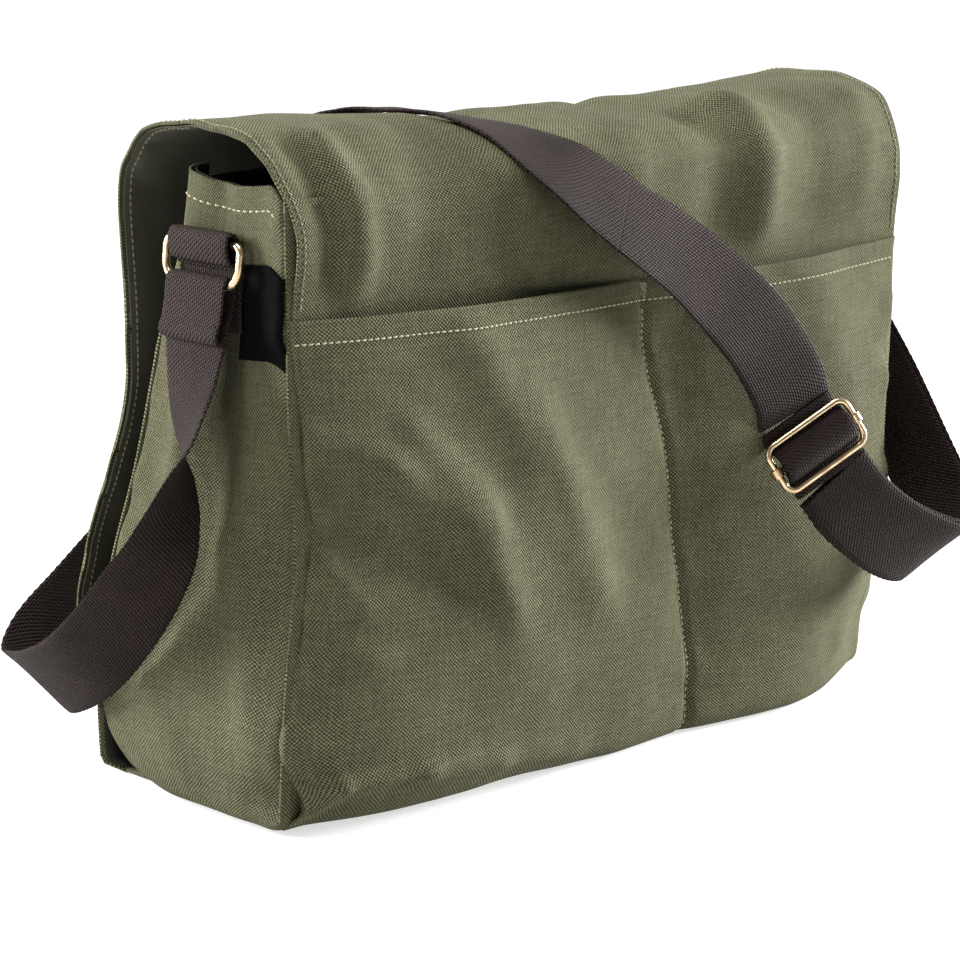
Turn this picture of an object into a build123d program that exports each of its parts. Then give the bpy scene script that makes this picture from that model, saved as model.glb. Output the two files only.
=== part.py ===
"""Canvas messenger bag with a full flap, a divided back pocket and a webbing shoulder strap.

X runs along the bag, the hanging front of the flap faces -Y, the back pocket faces +Y and +Z is up.
The origin is the centre of the base, on the surface that the bag stands on. Millimetres.
"""
import os
from math import atan2, cos, sin

from build123d import *

os.makedirs("parts", exist_ok=True)

# Body
HALF_BASE = 190.0  # half of the length at the base
HALF_RIM = 183.0  # half of the length at the open rim
RIM_Z = 262.0
BACK_Y = 58.0
CANVAS = 1.6
LINING = 0.8
MARGIN = 30.0  # overlap of cutting blocks past the body
FRONT_LINE = [(-66, 0), (-70, 30), (-63, 92), (-46, 138), (-29, 193), (-14, 246), (-10, RIM_Z)]  # (y, z)

# Back pocket
POCKET_Z = 212.0
POCKET_HALF = 189.0
POCKET_SECTIONS = [(0.0, 69.0), (50.0, 73.0), (POCKET_Z, 69.0)]  # (z, how far out the arch reaches)

# Flap
FLAP_HALF = 186.0
ROOT_HALF = 181.0
FLAP_CANVAS = 1.4
FLAP_LINING = 0.8
ROOT_BOTTOM_Z = 213.0
HINGE_GAP = 1.8  # cloth left free on each side of a fold line
REAR_FOLD = (60.0, 263.0)  # (y, z) of the fold line at the back
FRONT_FOLD = (-48.0, 266.0)  # (y, z) of the fold line at the front
FLAP_TOP_LINE = [
    (59.5, 264.8),
    (54, 274),
    (42, 282),
    (20, 286.5),
    (-8, 287),
    (-30, 283.5),
    (-43, 276),
    (-47.6, 267.8),
]
FLAP_FRONT_LINE = [
    (-48.2, 264.2),
    (-47, 238),
    (-45, 200),
    (-46, 170),
    (-57, 142),
    (-73, 105),
    (-84, 78),
    (-85, 55),
    (-79, 23),
]
CORNER_RADIUS = 28.0

# Webbing and rings
WEBBING = 40.0
WEB_THICK = 2.0
TAB_THICK = 1.4
RING_WIRE = 1.6  # radius
RING_Y = 12.0
RING_BAR_X = 188.2
RING_BAR_Z = 241.0
RING_LOW_X = 190.3
RING_LOW_Z = 224.0
RING_HALF = 24.0  # half of the width, measured on the wire's centre line
RING_TURN = 3.5  # bend radius beside the straight bar
RING_BOW = 8.5  # bend radius beside the bow
TAIL_Z = 203.0
FIT = 0.1  # clearance of webbing round a wire
END_GAP = 0.3  # half of the gap between two runs of the strap
LAYER_STEP = 4.8  # between the middles of the doubled strap's two layers

# Slider
SLIDER_CENTRE = Vector(-99, 87, 128.5)
SLIDER_ALONG = Vector(-0.40, 0.35, -0.85).normalized()  # direction of the strap, downwards
SLIDER_ACROSS = Vector(-0.80, 0.30, 0.50)
SLIDER_LONG = 48.0
SLIDER_SHORT = 26.0
SLIDER_WIRE = 1.6
SLIDER_CORNER = 5.0
BAR_WIRE = 1.3
COLLAR_LENGTH = 4.0
COLLAR_WALL = 1.2


def save(part, label):
    """Names a finished piece and writes it."""
    part.label = label
    export_step(part, f"parts/{label}.step")


# ---------------------------------------------------------------- body panels


def side_outline(inset, top):
    """Outline of the body seen from its end, drawn in by inset."""
    with BuildSketch(Plane.YZ) as outline:
        with BuildLine():
            front = Spline(*[(y + inset, z if z else inset) for y, z in FRONT_LINE])
            rise = [((front @ 1).X, top)] if top > RIM_Z else []
            Polyline(front @ 1, *rise, (BACK_Y - inset, top), (BACK_Y - inset, inset), front @ 0)
        make_face()
    return outline.sketch


def end_outline(inset, top):
    """Outline of the body seen from the front, drawn in by inset at both ends and open below."""
    slope = (HALF_RIM - HALF_BASE) / RIM_Z
    low, high = HALF_BASE - slope * MARGIN - inset, HALF_BASE + slope * top - inset
    with BuildSketch(Plane.XZ) as outline:
        with BuildLine():
            Polyline((-low, -MARGIN), (low, -MARGIN), (high, top), (-high, top), close=True)
        make_face()
    return outline.sketch


def floor_slab(top):
    """Everything below a height, as a cutting block."""
    reach = 2 * (HALF_BASE + MARGIN)
    with BuildPart() as slab:
        with BuildSketch(Plane.XY.offset(top)):
            Rectangle(reach, reach)
        extrude(amount=-MARGIN)
    return slab.part


def body_layer(prefix, outer, inner):
    """The five panels of one cloth layer, between two insets: two gussets, base, front and back."""
    for side, keep in (("right", Keep.TOP), ("left", Keep.BOTTOM)):
        with BuildPart() as gusset:
            extrude(side_outline(outer, RIM_Z), amount=HALF_BASE + MARGIN, both=True)
            extrude(end_outline(outer, RIM_Z), amount=HALF_BASE, both=True, mode=Mode.INTERSECT)
            extrude(end_outline(inner, RIM_Z + MARGIN), amount=HALF_BASE, both=True, mode=Mode.SUBTRACT)
            split(bisect_by=Plane.YZ, keep=keep)
        save(gusset.part, f"{prefix}gusset_{side}")

    with BuildPart() as base:
        extrude(side_outline(outer, RIM_Z), amount=HALF_BASE + MARGIN, both=True)
        extrude(end_outline(inner, RIM_Z), amount=HALF_BASE, both=True, mode=Mode.INTERSECT)
        add(floor_slab(inner), mode=Mode.INTERSECT)
    save(base.part, f"{prefix}base_panel")

    for side, keep in (("front", Keep.BOTTOM), ("back", Keep.TOP)):
        with BuildPart() as wall:
            extrude(side_outline(outer, RIM_Z), amount=HALF_BASE + MARGIN, both=True)
            extrude(end_outline(inner, RIM_Z), amount=HALF_BASE, both=True, mode=Mode.INTERSECT)
            room = side_outline(inner, RIM_Z + MARGIN)
            extrude(room, amount=HALF_BASE + MARGIN, both=True, mode=Mode.SUBTRACT)
            add(floor_slab(inner), mode=Mode.SUBTRACT)
            split(bisect_by=Plane(origin=(0, 0, 0), z_dir=(0, 1, 0)), keep=keep)
        save(wall.part, f"{prefix}{side}_panel")


# ---------------------------------------------------------------- back pocket


def pocket_section(z, peak, inset):
    """Plan of the two pockets at one height: an arch on each side of the centre seam."""
    seam = BACK_Y + CANVAS - inset
    with BuildSketch(Plane.XY.offset(z)) as section:
        with BuildLine():
            right = ThreePointArc(
                (POCKET_HALF - inset, BACK_Y), (POCKET_HALF / 2, peak - inset), (inset, seam)
            )
            if inset:
                Line(right @ 1, right @ 0)
            else:
                left = ThreePointArc(right @ 1, (-POCKET_HALF / 2, peak), (-POCKET_HALF, BACK_Y))
                Line(left @ 1, right @ 0)
        make_face()
        if inset:
            mirror(about=Plane.YZ)
    return section.sketch


def back_pocket():
    """One wide panel, sewn down both ends, along the base and down the middle."""
    lowest = POCKET_SECTIONS[0]
    hollow = [(CANVAS, lowest[1]), *POCKET_SECTIONS[1:-1], (POCKET_Z + MARGIN, POCKET_SECTIONS[-1][1])]
    with BuildPart() as pocket:
        loft([pocket_section(z, peak, 0) for z, peak in POCKET_SECTIONS], ruled=True)
        for half in (0, 1):
            rooms = [pocket_section(z, peak, CANVAS).faces().sort_by(Axis.X)[half] for z, peak in hollow]
            loft(rooms, ruled=True, mode=Mode.SUBTRACT)
    save(pocket.part, "back_pocket_panel")


def pocket_bartack():
    """Small sewn triangle that takes the load at the top of the centre seam."""
    half_width, height, thread, clear = 3.5, 10.0, 0.5, 1.2
    top = (0, BACK_Y + CANVAS + clear, POCKET_Z - 1)
    with BuildPart() as tack:
        with BuildSketch(Plane(origin=top, x_dir=(-1, 0, 0), z_dir=(0, 1, 0))):
            with BuildLine():
                Polyline((-half_width, 0), (half_width, 0), (0, -height), close=True)
            make_face()
        extrude(amount=thread)
    save(tack.part, "pocket_bartack")


def pocket_seam():
    """Row of thread stitches that holds the pocket panel to the back panel along the middle."""
    stitch, pitch, thread, clear = 2.6, 3.4, 0.5, 0.2
    count = int((POCKET_Z - 24) / pitch)
    with BuildPart() as seam:
        for index in range(count):
            with Locations((0, BACK_Y + CANVAS + clear + thread / 2, 10 + index * pitch)):
                Box(0.8, thread, stitch)
    save(seam.part, "pocket_seam_stitches")


# ---------------------------------------------------------------- flap


def shifted(points, distance):
    """Points of a side-view line moved square to the line, towards its left."""
    moved = []
    for index, (y, z) in enumerate(points):
        before, after = points[max(index - 1, 0)], points[min(index + 1, len(points) - 1)]
        direction = Vector(after[0] - before[0], after[1] - before[1]).normalized()
        moved.append((y - direction.Y * distance, z + direction.X * distance))
    return moved


def cloth_strip(points, shift, thickness, half_width):
    """Cloth of one thickness that follows a side-view line across the bag."""
    with BuildPart() as strip:
        with BuildSketch(Plane.YZ):
            with BuildLine():
                Spline(*shifted(points, shift))
            trace(line_width=thickness)
        extrude(amount=half_width, both=True)
    return strip.part


def flap_outline():
    """Front view of the hanging part of the flap, with its two lower corners rounded."""
    low, high = FLAP_FRONT_LINE[-1][1], FRONT_FOLD[1]
    with BuildSketch(Plane.XZ) as outline:
        with Locations((0, (low + high) / 2)):
            Rectangle(2 * FLAP_HALF, high - low)
        fillet(outline.vertices().group_by(Axis.Y)[0], CORNER_RADIUS)
    return outline.sketch


def flap():
    """Flap of canvas outside and lining inside: sewn root, part over the top, part down the front."""
    gap = 0.1
    lining_shift = (FLAP_CANVAS + FLAP_LINING) / 2 + gap
    for layer, near, far in (
        ("lining", BACK_Y, BACK_Y + FLAP_LINING),
        ("canvas", BACK_Y + FLAP_LINING + gap, BACK_Y + FLAP_LINING + gap + FLAP_CANVAS),
    ):
        with BuildPart() as root:
            with BuildSketch(Plane.XY.offset(ROOT_BOTTOM_Z)):
                with Locations((0, (near + far) / 2)):
                    Rectangle(2 * ROOT_HALF, far - near)
            extrude(amount=REAR_FOLD[1] - HINGE_GAP - ROOT_BOTTOM_Z)
        save(root.part, f"flap_root_{layer}")

    for name, line in (("flap_top", FLAP_TOP_LINE), ("flap_front", FLAP_FRONT_LINE)):
        for layer, shift, thickness in (
            ("canvas", 0, FLAP_CANVAS),
            ("lining", lining_shift, FLAP_LINING),
        ):
            with BuildPart() as piece:
                add(cloth_strip(line, shift, thickness, FLAP_HALF))
                if name == "flap_front":
                    extrude(flap_outline(), amount=-2 * BACK_Y, both=True, mode=Mode.INTERSECT)
            save(piece.part, f"{name}_{layer}")


# ---------------------------------------------------------------- rings and tabs


def gusset_plane(side, lift):
    """Plane on the outside of a gusset: local x along Y, local y up the slope."""
    lean = atan2(HALF_BASE - HALF_RIM, RIM_Z)
    return Plane(
        origin=(side * (HALF_BASE + lift), 0, 0),
        x_dir=(0, side, 0),
        z_dir=(side * cos(lean), 0, sin(lean)),
    )


def side_patch(label, side):
    """Thin black patch sewn to the gusset behind the ring."""
    near, far, low, high, thickness = 32.0, 56.5, 197.0, 235.0, 0.6
    with BuildPart() as patch:
        with BuildSketch(gusset_plane(side, FIT)):
            with Locations((side * (near + far) / 2, (low + high) / 2)):
                Rectangle(far - near, high - low)
        extrude(amount=thickness)
    save(patch.part, label)


def end_plane(side):
    """Plane through the middle of a ring, square to Y, with local x pointing away from the bag."""
    return Plane(origin=(0, RING_Y, 0), x_dir=(side, 0, 0), z_dir=(0, -side, 0))


def ring_tab(label, side):
    """Webbing that loops over the bar of the ring and runs down the gusset."""
    inner, outer = RING_WIRE + FIT, RING_WIRE + FIT + TAB_THICK
    leg = 4.0
    with BuildPart() as tab:
        with BuildSketch(end_plane(side)):
            with Locations((RING_BAR_X, RING_BAR_Z)):
                Circle(outer)
            with Locations((RING_BAR_X, RING_BAR_Z - leg / 2)):
                Rectangle(2 * outer, leg)
            with Locations((RING_BAR_X, RING_BAR_Z)):
                Circle(inner, mode=Mode.SUBTRACT)
            with Locations((RING_BAR_X, RING_BAR_Z - leg)):
                Rectangle(2 * inner, 2 * leg, mode=Mode.SUBTRACT)
            with Locations((RING_BAR_X - inner - TAB_THICK / 2, (RING_BAR_Z + TAIL_Z) / 2)):
                Rectangle(TAB_THICK, RING_BAR_Z - TAIL_Z)
        extrude(amount=WEBBING / 2, both=True)
    save(tab.part, label)


def d_ring(label, side):
    """Wire ring, straight where it turns in the tab and bowed where the strap hangs."""
    drop = Vector(side * (RING_LOW_X - RING_BAR_X), 0, RING_LOW_Z - RING_BAR_Z)
    plane = Plane(
        origin=(side * RING_BAR_X, RING_Y, RING_BAR_Z),
        x_dir=(0, 1, 0),
        z_dir=Vector(0, 1, 0).cross(drop.normalized()),
    )
    corners = [(-RING_HALF, 0), (RING_HALF, 0), (RING_HALF, drop.length), (-RING_HALF, drop.length)]
    with BuildPart() as ring:
        with BuildLine(plane) as path:
            FilletPolyline(*corners, radius=[RING_TURN, RING_TURN, RING_BOW, RING_BOW], close=True)
        with BuildSketch(Plane(origin=path.line @ 0, z_dir=path.line % 0)):
            Circle(RING_WIRE)
        sweep()
    save(ring.part, label)


def strap_fold(label, side):
    """Webbing folded round the bow of a ring and sewn to itself in a thick hem."""
    inner, outer = RING_WIRE + FIT, RING_WIRE + FIT + WEB_THICK
    hem = 5.0
    with BuildPart() as fold:
        with BuildSketch(end_plane(side)):
            for radius, bottom, mode in ((outer, TAIL_Z, Mode.ADD), (inner, TAIL_Z + hem, Mode.SUBTRACT)):
                with Locations((RING_LOW_X, RING_LOW_Z)):
                    Circle(radius, mode=mode)
                with Locations((RING_LOW_X, (RING_LOW_Z + bottom) / 2)):
                    Rectangle(2 * radius, RING_LOW_Z - bottom, mode=mode)
        extrude(amount=RING_HALF - RING_BOW - FIT, both=True)
    save(fold.part, label)


# ---------------------------------------------------------------- shoulder strap

# Stations along the strap: (centre, direction of the width). The upper route goes from the right ring
# round the front and over the flap to the slider, the lower one from the slider to the left ring.
UPPER_ROUTE = [
    ((193.4, 12, 201), (0, 1, 0)),
    ((196.5, 12, 180), (0.2, 0.98, 0)),
    ((201, 14, 160), (0.5, 0.86, 0.05)),
    ((205, 14, 144), (0.8, 0.55, 0.2)),
    ((208, 11, 128), (0.86, 0.3, 0.4)),
    ((210, 2, 108), (0.82, 0.1, 0.56)),
    ((211, -19, 82), (0.78, -0.05, 0.62)),
    ((210, -48, 57), (0.7, -0.2, 0.68)),
    ((205, -78, 42), (0.58, -0.4, 0.7)),
    ((196, -104, 36), (0.43, -0.58, 0.69)),
    ((182, -115, 47), (0.45, -0.42, 0.78)),
    ((163, -112, 66), (0.55, -0.2, 0.81)),
    ((142, -104, 92), (0.65, 0, 0.76)),
    ((118, -88, 128), (0.78, 0, 0.62)),
    ((100, -70, 165), (0.88, 0, 0.47)),
    ((84, -60, 205), (0.94, 0, 0.34)),
    ((72, -58, 240), (0.96, 0, 0.28)),
    ((65, -58, 264), (0.97, 0.05, 0.24)),
    ((61, -51, 283), (0.95, 0.25, 0.15)),
    ((57, -32, 293), (0.9, 0.42, 0.05)),
    ((50, -8, 294), (0.87, 0.49, 0)),
    ((46, 22, 294), (0.84, 0.53, -0.05)),
    ((46, 46, 291), (0.8, 0.48, -0.36)),
    ((42, 62, 281), (0.7, 0.2, -0.68)),
    ((30, 67, 267), (0.6, 0.0, -0.8)),
    ((8, 67.5, 250), (0.55, 0.0, -0.83)),
    ((-20, 69, 232), (0.58, -0.02, -0.81)),
    ((-46, 73, 208), (0.66, -0.05, -0.75)),
    ((-68, 77, 182), (0.76, -0.12, -0.63)),
    ((-86, 79, 158), (0.8, -0.24, -0.55)),
    ((-94.0, 77.8, 143.2), (0.8, -0.30, -0.5)),
]
UPPER_RUNS = {
    "strap_side_run": (0, 9),
    "strap_front_run": (9, 17),
    "strap_top_run": (17, 24),
    "strap_back_run": (24, 30),
}
LOWER_ROUTE = [
    ((-107.9, 90.2, 112.6), (-0.8, 0.30, 0.5)),
    ((-119, 96, 97), (-0.77, 0.32, 0.54)),
    ((-142, 99, 80), (-0.72, 0.36, 0.58)),
    ((-168, 97, 70), (-0.66, 0.44, 0.6)),
    ((-189, 88, 70), (-0.5, 0.6, 0.62)),
    ((-203, 74, 82), (-0.28, 0.8, 0.53)),
    ((-207, 57, 106), (-0.08, 0.9, 0.42)),
    ((-206, 38, 138), (0, 0.95, 0.3)),
    ((-200.5, 18, 173), (0, 0.99, 0.1)),
    ((-194, 12, 195), (0, 1, 0)),
]
# Where the strap weaves through the slider: (along the strap, out of the slider's plane).
WEAVE = [
    (-15.6, -3.4),
    (-11.4, -3.6),
    (-8.2, -1.4),
    (-3.6, 5.0),
    (3.6, 5.0),
    (8.2, -1.4),
    (11.4, -3.6),
    (15.6, -3.4),
]


def web_run(label, route, first=0, last=-1):
    """Flat webbing through part of a route, turned to each station's width direction."""
    centres = [Vector(*centre) for centre, _ in route]
    last = last % len(route)
    ends = []
    for index in range(first, last + 1):
        before, after = centres[max(index - 1, 0)], centres[min(index + 1, len(centres) - 1)]
        along = (after - before).normalized()
        width = Vector(*route[index][1])
        width = (width - along * width.dot(along)).normalized()
        trim = END_GAP * ((index == first) - (index == last))
        with BuildSketch(Plane(origin=centres[index] + along * trim, x_dir=width, z_dir=along)) as end:
            Rectangle(WEBBING, WEB_THICK)
        ends.append(end.sketch)
    with BuildPart() as run:
        for near, far in zip(ends, ends[1:]):
            loft([near, far], ruled=True)
    save(run.part, label)
    used = centres[first : last + 1]
    return sum((after - before).length for before, after in zip(used, used[1:]))


def inner_route(route, distance):
    """The same route moved towards the bag, for the second layer of the doubled strap."""
    centres = [Vector(*centre) for centre, _ in route]
    moved = []
    for index, (_, across) in enumerate(route):
        before, after = centres[max(index - 1, 0)], centres[min(index + 1, len(centres) - 1)]
        inwards = Vector(*across).cross(after - before).normalized()
        centre = centres[index] + inwards * distance
        moved.append(((centre.X, centre.Y, centre.Z), across))
    return moved


def slider_plane():
    """Plane of the slider: local x across the strap, local y along it, z away from the bag."""
    return Plane(origin=SLIDER_CENTRE, x_dir=-SLIDER_ACROSS, z_dir=-SLIDER_ACROSS.cross(SLIDER_ALONG))


def slider():
    """Wire frame with a sliding middle bar that holds the strap's sewn end."""
    plane = slider_plane()
    half_long = SLIDER_LONG / 2 - SLIDER_WIRE
    half_short = SLIDER_SHORT / 2 - SLIDER_WIRE
    corners = [
        (-half_long, half_short),
        (half_long, half_short),
        (half_long, -half_short),
        (-half_long, -half_short),
    ]
    with BuildPart() as frame:
        with BuildLine(plane) as path:
            FilletPolyline(*corners, radius=SLIDER_CORNER, close=True)
        with BuildSketch(Plane(origin=path.line @ 0, z_dir=path.line % 0)):
            Circle(SLIDER_WIRE)
        sweep()
    save(frame.part, "slider_frame")

    bore = SLIDER_WIRE + FIT
    across = Plane(origin=plane.origin, x_dir=plane.y_dir, z_dir=plane.x_dir)
    with BuildPart() as bar:
        with BuildSketch(across):
            Circle(BAR_WIRE)
        extrude(amount=half_long, both=True)
        for side in (-1, 1):
            spot = plane.from_local_coords(Vector(side * half_long, 0, 0))
            with BuildSketch(Plane(origin=spot, x_dir=plane.x_dir, z_dir=plane.y_dir)):
                Circle(bore + COLLAR_WALL)
            extrude(amount=COLLAR_LENGTH / 2, both=True)
            with BuildSketch(Plane(origin=spot, x_dir=plane.x_dir, z_dir=plane.y_dir)):
                Circle(bore)
            extrude(amount=COLLAR_LENGTH, both=True, mode=Mode.SUBTRACT)
    save(bar.part, "slider_bar")

    with BuildPart() as wrap:
        with BuildSketch(across):
            Circle(BAR_WIRE + WEB_THICK)
            Circle(BAR_WIRE + FIT, mode=Mode.SUBTRACT)
        extrude(amount=WEBBING / 2 - 2, both=True)
    save(wrap.part, "strap_bar_end")

    width = (-SLIDER_ACROSS.X, -SLIDER_ACROSS.Y, -SLIDER_ACROSS.Z)
    stations = []
    for along, out in WEAVE:
        centre = SLIDER_CENTRE + SLIDER_ALONG * along + plane.z_dir * out
        stations.append(((centre.X, centre.Y, centre.Z), width))
    web_run("strap_slider_run", stations)


body_layer("", 0, CANVAS)
body_layer("lining_", CANVAS + FIT, CANVAS + FIT + LINING)
back_pocket()
pocket_bartack()
pocket_seam()
flap()
for name, direction in (("right", 1), ("left", -1)):
    side_patch(f"side_patch_{name}", direction)
    ring_tab(f"ring_tab_{name}", direction)
    d_ring(f"ring_{name}", direction)
    strap_fold(f"strap_fold_{name}", direction)
slider()
single = sum(web_run(label, UPPER_ROUTE, *span) for label, span in UPPER_RUNS.items())
single += web_run("strap_adjust_run", LOWER_ROUTE)
returned = web_run("strap_return_run", inner_route(LOWER_ROUTE, LAYER_STEP))
print(f"strap between the rings {single:.0f} mm, doubled layer {returned:.0f} mm")
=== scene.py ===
"""Looks of a washed canvas messenger bag with a full flap, a back pocket and a webbing shoulder strap.

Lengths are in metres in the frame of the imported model: X along the bag, +Y to the back pocket, +Z up.
Sheets are grids of points worked out by formulas, with UVs in metres so that each weave keeps its real size.
"""

from math import pi

import bpy
import numpy as np
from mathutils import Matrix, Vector


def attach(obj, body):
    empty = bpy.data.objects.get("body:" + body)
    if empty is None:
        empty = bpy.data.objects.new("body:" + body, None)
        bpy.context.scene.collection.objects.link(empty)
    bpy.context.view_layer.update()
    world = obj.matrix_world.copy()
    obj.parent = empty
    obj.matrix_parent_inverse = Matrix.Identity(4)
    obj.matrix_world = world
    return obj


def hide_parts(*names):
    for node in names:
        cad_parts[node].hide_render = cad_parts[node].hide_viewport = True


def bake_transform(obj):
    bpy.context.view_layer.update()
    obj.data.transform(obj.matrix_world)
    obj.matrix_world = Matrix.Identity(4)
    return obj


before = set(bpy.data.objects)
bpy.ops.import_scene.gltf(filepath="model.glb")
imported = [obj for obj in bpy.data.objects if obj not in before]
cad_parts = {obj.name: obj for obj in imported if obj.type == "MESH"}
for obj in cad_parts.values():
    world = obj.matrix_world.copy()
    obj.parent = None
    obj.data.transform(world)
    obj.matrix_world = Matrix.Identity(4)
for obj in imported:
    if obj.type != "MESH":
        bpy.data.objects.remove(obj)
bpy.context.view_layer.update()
MM = 0.001


# ---------------------------------------------------------------- camera, floor and light

CAMERA_PLACE = Vector((0.981, 1.049, 0.425))
CAMERA_TARGET = Vector((0.027, 0.0, 0.117))
CAMERA_LENS = 122.0
FLOOR_SIZE = 12.0
WORLD_GLOW = 0.22
FLOOR_GLOW = 0.64


def make_camera():
    """Camera at the back corner of the bag, a little above it, with a long lens."""
    data = bpy.data.cameras.new("camera")
    data.lens = CAMERA_LENS
    data.sensor_width = 36.0
    camera = bpy.data.objects.new("camera", data)
    camera.location = CAMERA_PLACE
    camera.rotation_euler = (CAMERA_TARGET - CAMERA_PLACE).to_track_quat("-Z", "Y").to_euler()
    bpy.context.scene.collection.objects.link(camera)
    bpy.context.scene.camera = camera


def area_light(name, place, target, size, power, tint=(1, 1, 1)):
    """Square soft box aimed at a point."""
    data = bpy.data.lights.new(name, "AREA")
    data.size = size
    data.energy = power
    data.color = tint
    lamp = bpy.data.objects.new(name, data)
    lamp.location = place
    lamp.rotation_euler = (Vector(target) - Vector(place)).to_track_quat("-Z", "Y").to_euler()
    bpy.context.scene.collection.objects.link(lamp)


def glowing_paint(name, colour, glow):
    """Matt white paint that is lit a little from within, like the sweep of a light table."""
    paint = bpy.data.materials.new(name)
    paint.use_nodes = True
    surface = paint.node_tree.nodes["Principled BSDF"]
    surface.inputs["Base Color"].default_value = (colour, colour, colour, 1)
    surface.inputs["Roughness"].default_value = 0.9
    surface.inputs["Emission Color"].default_value = (1, 1, 1, 1)
    surface.inputs["Emission Strength"].default_value = glow
    return paint


def stage_plane(name, corners, paint):
    """One flat rectangle of the studio."""
    mesh = bpy.data.meshes.new(name)
    mesh.from_pydata(corners, [], [(0, 1, 2, 3)])
    mesh.materials.append(paint)
    plane = bpy.data.objects.new(name, mesh)
    bpy.context.scene.collection.objects.link(plane)


def make_studio():
    """White light table, white wall far behind the bag, pale world and three soft boxes."""
    world = bpy.data.worlds.new("studio")
    world.use_nodes = True
    world.node_tree.nodes["Background"].inputs["Color"].default_value = (1.0, 1.0, 1.0, 1.0)
    world.node_tree.nodes["Background"].inputs["Strength"].default_value = WORLD_GLOW
    bpy.context.scene.world = world
    bpy.context.scene.view_settings.view_transform = "Standard"

    half = FLOOR_SIZE / 2
    stage_plane(
        "floor",
        [(-half, -half, 0), (half, -half, 0), (half, half, 0), (-half, half, 0)],
        glowing_paint("floor_paint", 0.35, FLOOR_GLOW),
    )
    stage_plane(
        "wall",
        [(-half, -0.6, -0.1), (-0.6, -half, -0.1), (-0.6, -half, 3.0), (-half, -0.6, 3.0)],
        glowing_paint("wall_paint", 0.92, 1.0),
    )

    middle = (0, 0, 0.15)
    area_light("key", (-2.25, 0.80, 0.75), middle, 0.8, 205)
    area_light("side", (1.35, -1.7, 0.8), middle, 0.8, 120)
    area_light("fill", (2.3, 0.1, 0.5), middle, 0.6, 16)
    area_light("top", (0.2, 0.0, 2.2), middle, 1.2, 55)


make_camera()
make_studio()


# ---------------------------------------------------------------- smooth formulas


def curve(table, at):
    """Smooth value from a table of (place, value), by cubic pieces that pass through each value."""
    places = np.array([row[0] for row in table], float)
    values = np.array([row[1] for row in table], float)
    slopes = np.gradient(values, places)
    at = np.clip(at, places[0], places[-1])
    cell = np.clip(np.searchsorted(places, at) - 1, 0, len(places) - 2)
    step = places[cell + 1] - places[cell]
    t = (at - places[cell]) / step
    return (
        values[cell] * (1 + 2 * t) * (1 - t) ** 2
        + slopes[cell] * step * t * (1 - t) ** 2
        + values[cell + 1] * t * t * (3 - 2 * t)
        + slopes[cell + 1] * step * t * t * (t - 1)
    )


def smooth_step(low, high, at):
    """0 below low, 1 above high and a soft change between them."""
    t = np.clip((at - low) / (high - low), 0, 1)
    return t * t * (3 - 2 * t)


def hill(at, centre, width):
    """Rounded bump of height 1."""
    return np.exp(-(((at - centre) / width) ** 2))


def fold(a, b, start, end, height, width):
    """Ridge, or valley where the height is negative, along a line in a panel's own plane."""
    start, end = np.array(start, float), np.array(end, float)
    along = end - start
    length = np.linalg.norm(along)
    along = along / length
    reach = (a - start[0]) * along[0] + (b - start[1]) * along[1]
    off = (a - start[0]) * along[1] - (b - start[1]) * along[0]
    beyond = np.maximum(np.maximum(-reach, reach - length), 0)
    return height * np.exp(-((off / width) ** 2)) * np.exp(-((beyond / (1.6 * width)) ** 2))


def lumps(a, b, size, seed):
    """Soft random unevenness between about -1 and 1, with lumps of one size."""
    dice = np.random.default_rng(seed)
    grid = dice.uniform(-1, 1, (64, 64))
    a, b = a / size + 17.3, b / size + 11.7
    i, j = np.floor(a).astype(int), np.floor(b).astype(int)
    s, t = a - i, b - j
    s, t = s * s * (3 - 2 * s), t * t * (3 - 2 * t)
    i, j, i1, j1 = i % 64, j % 64, (i + 1) % 64, (j + 1) % 64
    return (grid[i, j] * (1 - s) + grid[i1, j] * s) * (1 - t) + (grid[i, j1] * (1 - s) + grid[i1, j1] * s) * t


# ---------------------------------------------------------------- materials


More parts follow.
